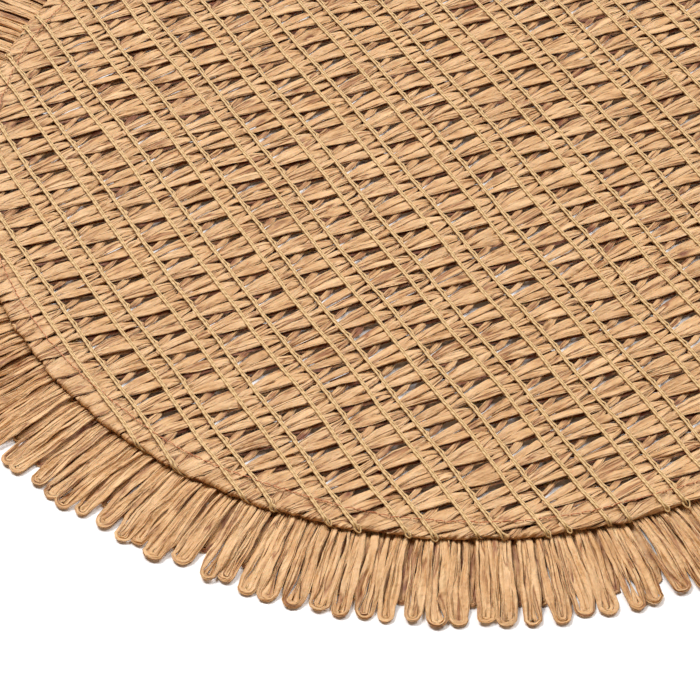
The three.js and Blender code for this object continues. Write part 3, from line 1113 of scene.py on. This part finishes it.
@dataclass
class LoopFringe:
    """The fringe: hairpins of paper string pressed flat, sewn to a narrow head beneath the hem.

    A hairpin's two legs lie flat and side by side, and at its tip the string turns on edge. The room is half the
    width of a loop at shares of its length, and leg_apart moves a wave on between the two legs.
    """

    finish: PaperString
    chance: Chance
    count: int = 170
    root_radius: float = 152.6
    edge_radius: float = 159.4
    place_spread: float = 0.12
    mean_reach: float = 29.2
    reach_spread: float = 1.1
    reach_limits: Pair = (26.5, 30.4)
    lean: float = 0.11
    lean_sway: float = 0.9
    lean_spread: float = 0.22
    sways: tuple[Pair, Pair] = ((7.0, 0.6), (3.0, 2.0))
    bow_spread: float = 0.35
    fullness_spread: float = 0.08
    fullness_limits: Pair = (0.8, 1.2)
    lifts: Pair = (0.0, 0.7)
    noses: Pair = (0.75, 1.3)
    bands: Pair = (0.85, 1.3)
    splits: Pair = (0.35, 0.95)
    room: tuple[Pair, ...] = ((0.0, 2.3), (0.25, 2.65), (0.6, 3.2), (0.85, 3.3), (1.0, 3.0))
    tip_from: float = 0.84
    tip_steps: int = 8
    leg_apart: float = 40.0
    split_wave: Wave = Wave(0.16, 50.0, 20.0)
    split_limits: Pair = (0.3, 0.96)
    wander_wave: Wave = Wave(0.2, 30.0, 10.0)
    kink: float = 0.06
    width_wave: Wave = Wave(0.12, 34.0, 12.0)
    ring_spread: float = 0.05
    ring_limits: Pair = (0.85, 1.15)
    from_hem: Pair = (3.0, 10.0)
    hem_height: float = 0.5
    sink_from: float = 0.7
    tip_sink: float = 0.55
    height_wave: Wave = Wave(0.2, 26.0, 11.0)
    roll_wave: Wave = Wave(0.35, 40.0, 14.0)
    least_rise: float = 0.1
    least_height: float = 0.03
    folds: Folds = Folds(Wave(0.6, 110.0, 30.0), 0.4)
    crease: float = 0.24
    least_crease: float = 0.45
    head_radii: tuple[float, ...] = (152.6, 155.0, 157.3)
    head_points: int = 241
    head_height: float = 0.3
    head_half_width: float = 1.1
    head_half_depth: float = 0.2

    def draw(self) -> Loops:
        """Draws what sets each loop apart. The lean sways round the rim as the product of two sines of the place."""
        chance, each = self.chance, (self.count, 1)
        number = np.arange(self.count)[:, None]
        place = TURN * (number + chance.normal(0.0, self.place_spread, each)) / self.count
        first, second = (np.sin(times * place + start) for times, start in self.sways)
        return Loops(
            place=place,
            reach=np.clip(chance.normal(self.mean_reach, self.reach_spread, each), *self.reach_limits),
            lean=self.lean * (self.lean_sway * first * second + chance.normal(0.0, self.lean_spread, each)),
            bow=chance.normal(0.0, self.bow_spread, each),
            fullness=np.clip(chance.normal(1.0, self.fullness_spread, each), *self.fullness_limits),
            lift=chance.uniform(*self.lifts, each),
            nose=chance.uniform(*self.noses, each),
            band=chance.uniform(*self.bands, each),
            left_split=chance.uniform(*self.splits, each),
            right_split=chance.uniform(*self.splits, each),
        )

    def hairpins(self, loops: Loops, strand: Strand) -> Bundle:
        """One strand of every loop.

        A hairpin runs out along one leg, round half an ellipse at the tip and back along the other leg. Each leg
        fills its strand's share of its side of the loop, whose width is a smooth curve from root to tip. The whole
        is turned by its lean about the rim and then by its place round the mat.

        Args:
            loops: what each loop draws.
            strand: which of a loop's strings.

        Returns:
            The gathered tubes.
        """
        shape, chance = STRANDS[strand], self.chance
        apart = shape.tip_apart * loops.fullness
        nose = loops.nose * apart
        straight = self.edge_radius + loops.reach - shape.short - self.root_radius - nose
        legs = np.linspace(0.0, 1.0, shape.leg_steps + 1)[None, :] * straight
        turn = np.linspace(-math.pi / 2.0, math.pi / 2.0, self.tip_steps + 1)[None, 1:-1]
        along = np.concatenate([legs, straight + nose * np.cos(turn), legs[:, ::-1]], axis=1)
        ones = np.ones_like(legs)
        way = np.concatenate([-ones, np.sin(turn) * np.ones_like(straight), ones], axis=1)
        share = along / (straight + nose)
        at_tip = smooth_step(along / straight, self.tip_from, 1.0)
        room = through(*np.array(self.room).T, share) * loops.fullness
        split = np.where(way < 0.0, loops.left_split, loops.right_split)
        split = np.clip(split + self.split_wave.draw(chance, along + self.leg_apart * way), *self.split_limits)
        outside = shape.outside[0] + shape.outside[1] * split
        inside = shape.inside[0] + shape.inside[1] * split
        leg_middle = room * (1.0 - 0.5 * (outside + inside))
        side = way * (leg_middle + (apart - leg_middle) * at_tip)
        wander = self.wander_wave.draw(chance, along + self.leg_apart * np.sign(way))
        kinks = chance.normal(0.0, self.kink, side.shape) * (1.0 + at_tip)
        side = side + loops.bow * np.sin(math.pi * share) + wander + kinks
        far = along - (self.edge_radius - self.root_radius)
        x = self.edge_radius + far * np.cos(loops.lean) - side * np.sin(loops.lean)
        y = far * np.sin(loops.lean) + side * np.cos(loops.lean)
        place = loops.place + TURN * shape.shift / self.count
        path = np.stack([x * np.cos(place) - y * np.sin(place), x * np.sin(place) + y * np.cos(place)], axis=-1)
        run = measured_along(path)
        half = 0.5 * room * (inside - outside)
        half = half * (1.0 + (1.0 - at_tip) * self.width_wave.draw(chance, run))
        half = half + (shape.tip_half_width * loops.band - half) * at_tip
        half = half * np.clip(chance.normal(1.0, self.ring_spread, half.shape), *self.ring_limits)
        risen = self.hem_height + (1.0 - self.hem_height) * smooth_step(along, *self.from_hem)
        sunk = 1.0 - self.tip_sink * smooth_step(share, self.sink_from, 1.0)
        height = (shape.level + loops.lift) * risen * sunk + self.height_wave.draw(chance, run)
        height = np.maximum(height, shape.half_depth + self.least_rise)
        roll = self.roll_wave.draw(chance, run) * (1.0 - at_tip)
        creases = self.folds.draw(chance, run, shape.around)
        depth = np.full_like(half, shape.half_depth)
        shifts = self.crease * np.clip(half, self.least_crease, 1.0)[..., None] * creases
        rings = carry(path, height, half, depth, roll, ribbon_section(shape.around), shifts)
        rings[..., 2] = np.maximum(rings[..., 2], self.least_height)
        bundle = Bundle(chance)
        # The crease mark paints shade into the creases, and the strand's painted shade on top.
        bundle.add(rings, run, RIBBON_GIRTH * half.mean(axis=1), creases - shape.shade)
        return bundle

    def head(self) -> Bundle:
        """The head of the fringe: flat rings of string that the legs are sewn to."""
        bundle = Bundle(self.chance)
        angle = np.linspace(0.0, TURN, self.head_points)[None, :]
        sizes = [np.full_like(angle, size) for size in (self.head_height, self.head_half_width, self.head_half_depth)]
        for radius in self.head_radii:
            path = round_path(radius, angle)
            rings = carry(path, *sizes, np.zeros_like(angle), ribbon_section(6), 0.0)
            bundle.add(rings, measured_along(path), 4.0 * self.head_half_width)
        return bundle

    def build(self) -> Pieces:
        """The loops' outer strings, those inside and between them, and the head."""
        loops = self.draw()
        bundles = {
            "fringe_loops": self.hairpins(loops, Strand.OUTER),
            "fringe_inner": self.hairpins(loops, Strand.INNER),
            "fringe_between": self.hairpins(loops, Strand.BETWEEN),
            "fringe_head": self.head(),
        }
        return build_pieces(bundles, self.finish.build(), "fringe_paper", folded=True)


# The stage


class Lamp(NamedTuple):
    """A square area light that faces the mat: its place and side in metres, its watts and its sRGB hex colour."""

    place: Triple
    size: float
    power: float
    colour: str = "ffffff"


LAMPS: dict[str, Lamp] = {
    "key": Lamp((-1.6, 2.3, 3.0), 1.9, 245.0),
    "second": Lamp((2.0, 1.6, 2.8), 1.9, 105.0),
    "fill": Lamp((-0.7, -2.0, 0.8), 1.0, 15.0, "ffd0a0"),
}


@dataclass
class Studio:
    """The table, two soft white lights behind, a low warm fill in front, an even sky and the camera."""

    table_half_m: float = 30.0
    sky: str = "eef0ff"
    sky_strength: float = 0.04
    exposure: float = 0.03
    camera_mm: Triple = (-35.5, -661.2, 654.3)
    camera_pitch_deg: float = 41.44
    lens_mm: float = 145.3
    sensor_mm: float = 36.0

    def table(self) -> None:
        """A wide white table top at the level that the mat lies on."""
        mesh = bpy.data.meshes.new("table_top")
        half = self.table_half_m
        corners = [(-half, -half, 0.0), (half, -half, 0.0), (half, half, 0.0), (-half, half, 0.0)]
        mesh.from_pydata(corners, [], [(0, 1, 2, 3)])
        mesh.materials.append(TableTop().build())
        floor = new_object("table_top", mesh)

    def lights(self) -> None:
        """The lamps, each turned to look at the middle of the mat, and the sky."""
        for name, lamp in LAMPS.items():
            data = bpy.data.lights.new(name, "AREA")
            data.size = lamp.size
            data.energy = lamp.power
            data.color = linear(lamp.colour)[:3]
            light = new_object(name, data)
            light.location = lamp.place
            aim = -np.array(lamp.place) / np.linalg.norm(lamp.place)
            light.rotation_euler = (math.acos(-aim[2]), 0.0, math.atan2(aim[1], aim[0]) - math.pi / 2.0)
        world = bpy.data.worlds.new("studio")
        world.use_nodes = True
        sky = {"Color": linear(self.sky), "Strength": self.sky_strength}
        feed(world.node_tree, world.node_tree.nodes["Background"], sky)
        bpy.context.scene.world = world

    def camera(self) -> None:
        """The camera at the photograph's place, and the plain view."""
        view = bpy.context.scene.view_settings
        view.view_transform = "Standard"
        view.exposure = self.exposure
        data = bpy.data.cameras.new("camera")
        data.sensor_width = self.sensor_mm
        data.lens = self.lens_mm
        camera = new_object("camera", data)
        camera.location = [c * MM for c in self.camera_mm]
        camera.rotation_euler = (math.radians(self.camera_pitch_deg), 0.0, 0.0)
        bpy.context.scene.camera = camera

    def build(self) -> None:
        """The whole stage."""
        self.table()
        self.lights()
        self.camera()


def main() -> None:
    """Builds the stage, the cloth, its sewing and its fringe."""
    logging.basicConfig(level=logging.INFO, format="%(name)s %(message)s")
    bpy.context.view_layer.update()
    chance = np.random.default_rng(SEED)
    Studio().build()
    plan = ClothPlan()
    # The line colour and the deep end of the ramp are painted shade.
    paper = PaperString("flat_paper_string", deep="6a3410", painted_crease_shade="804a20", base="b68b5b", light="c9a478")
    fringe_paper = PaperString("fringe_paper_string", deep="6a3410", painted_crease_shade="7e461a", base="b98c5a", light="cca678")
    straw_thread = PliedThread("chain_thread", painted_groove_shade="ac8850", crown="c8a670")
    rust_thread = PliedThread("hem_thread", painted_groove_shade="a2592f", crown="c67f50", lay_mm=0.8)
    pieces: Pieces = {}
    pieces |= WovenRibbons(plan, paper, chance).build()
    pieces |= ChainStitches(plan, straw_thread, chance).build()
    pieces |= HemSewing(plan, rust_thread, chance).build()
    pieces |= LoopFringe(fringe_paper, chance).build()
    for name, piece in pieces.items():
        log.info("%s: %d triangles", name, len(piece.data.loops) - 2 * len(piece.data.polygons))
    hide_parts("mat_cloth")
    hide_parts("loop_fringe")


if __name__ == "__main__":
    main()
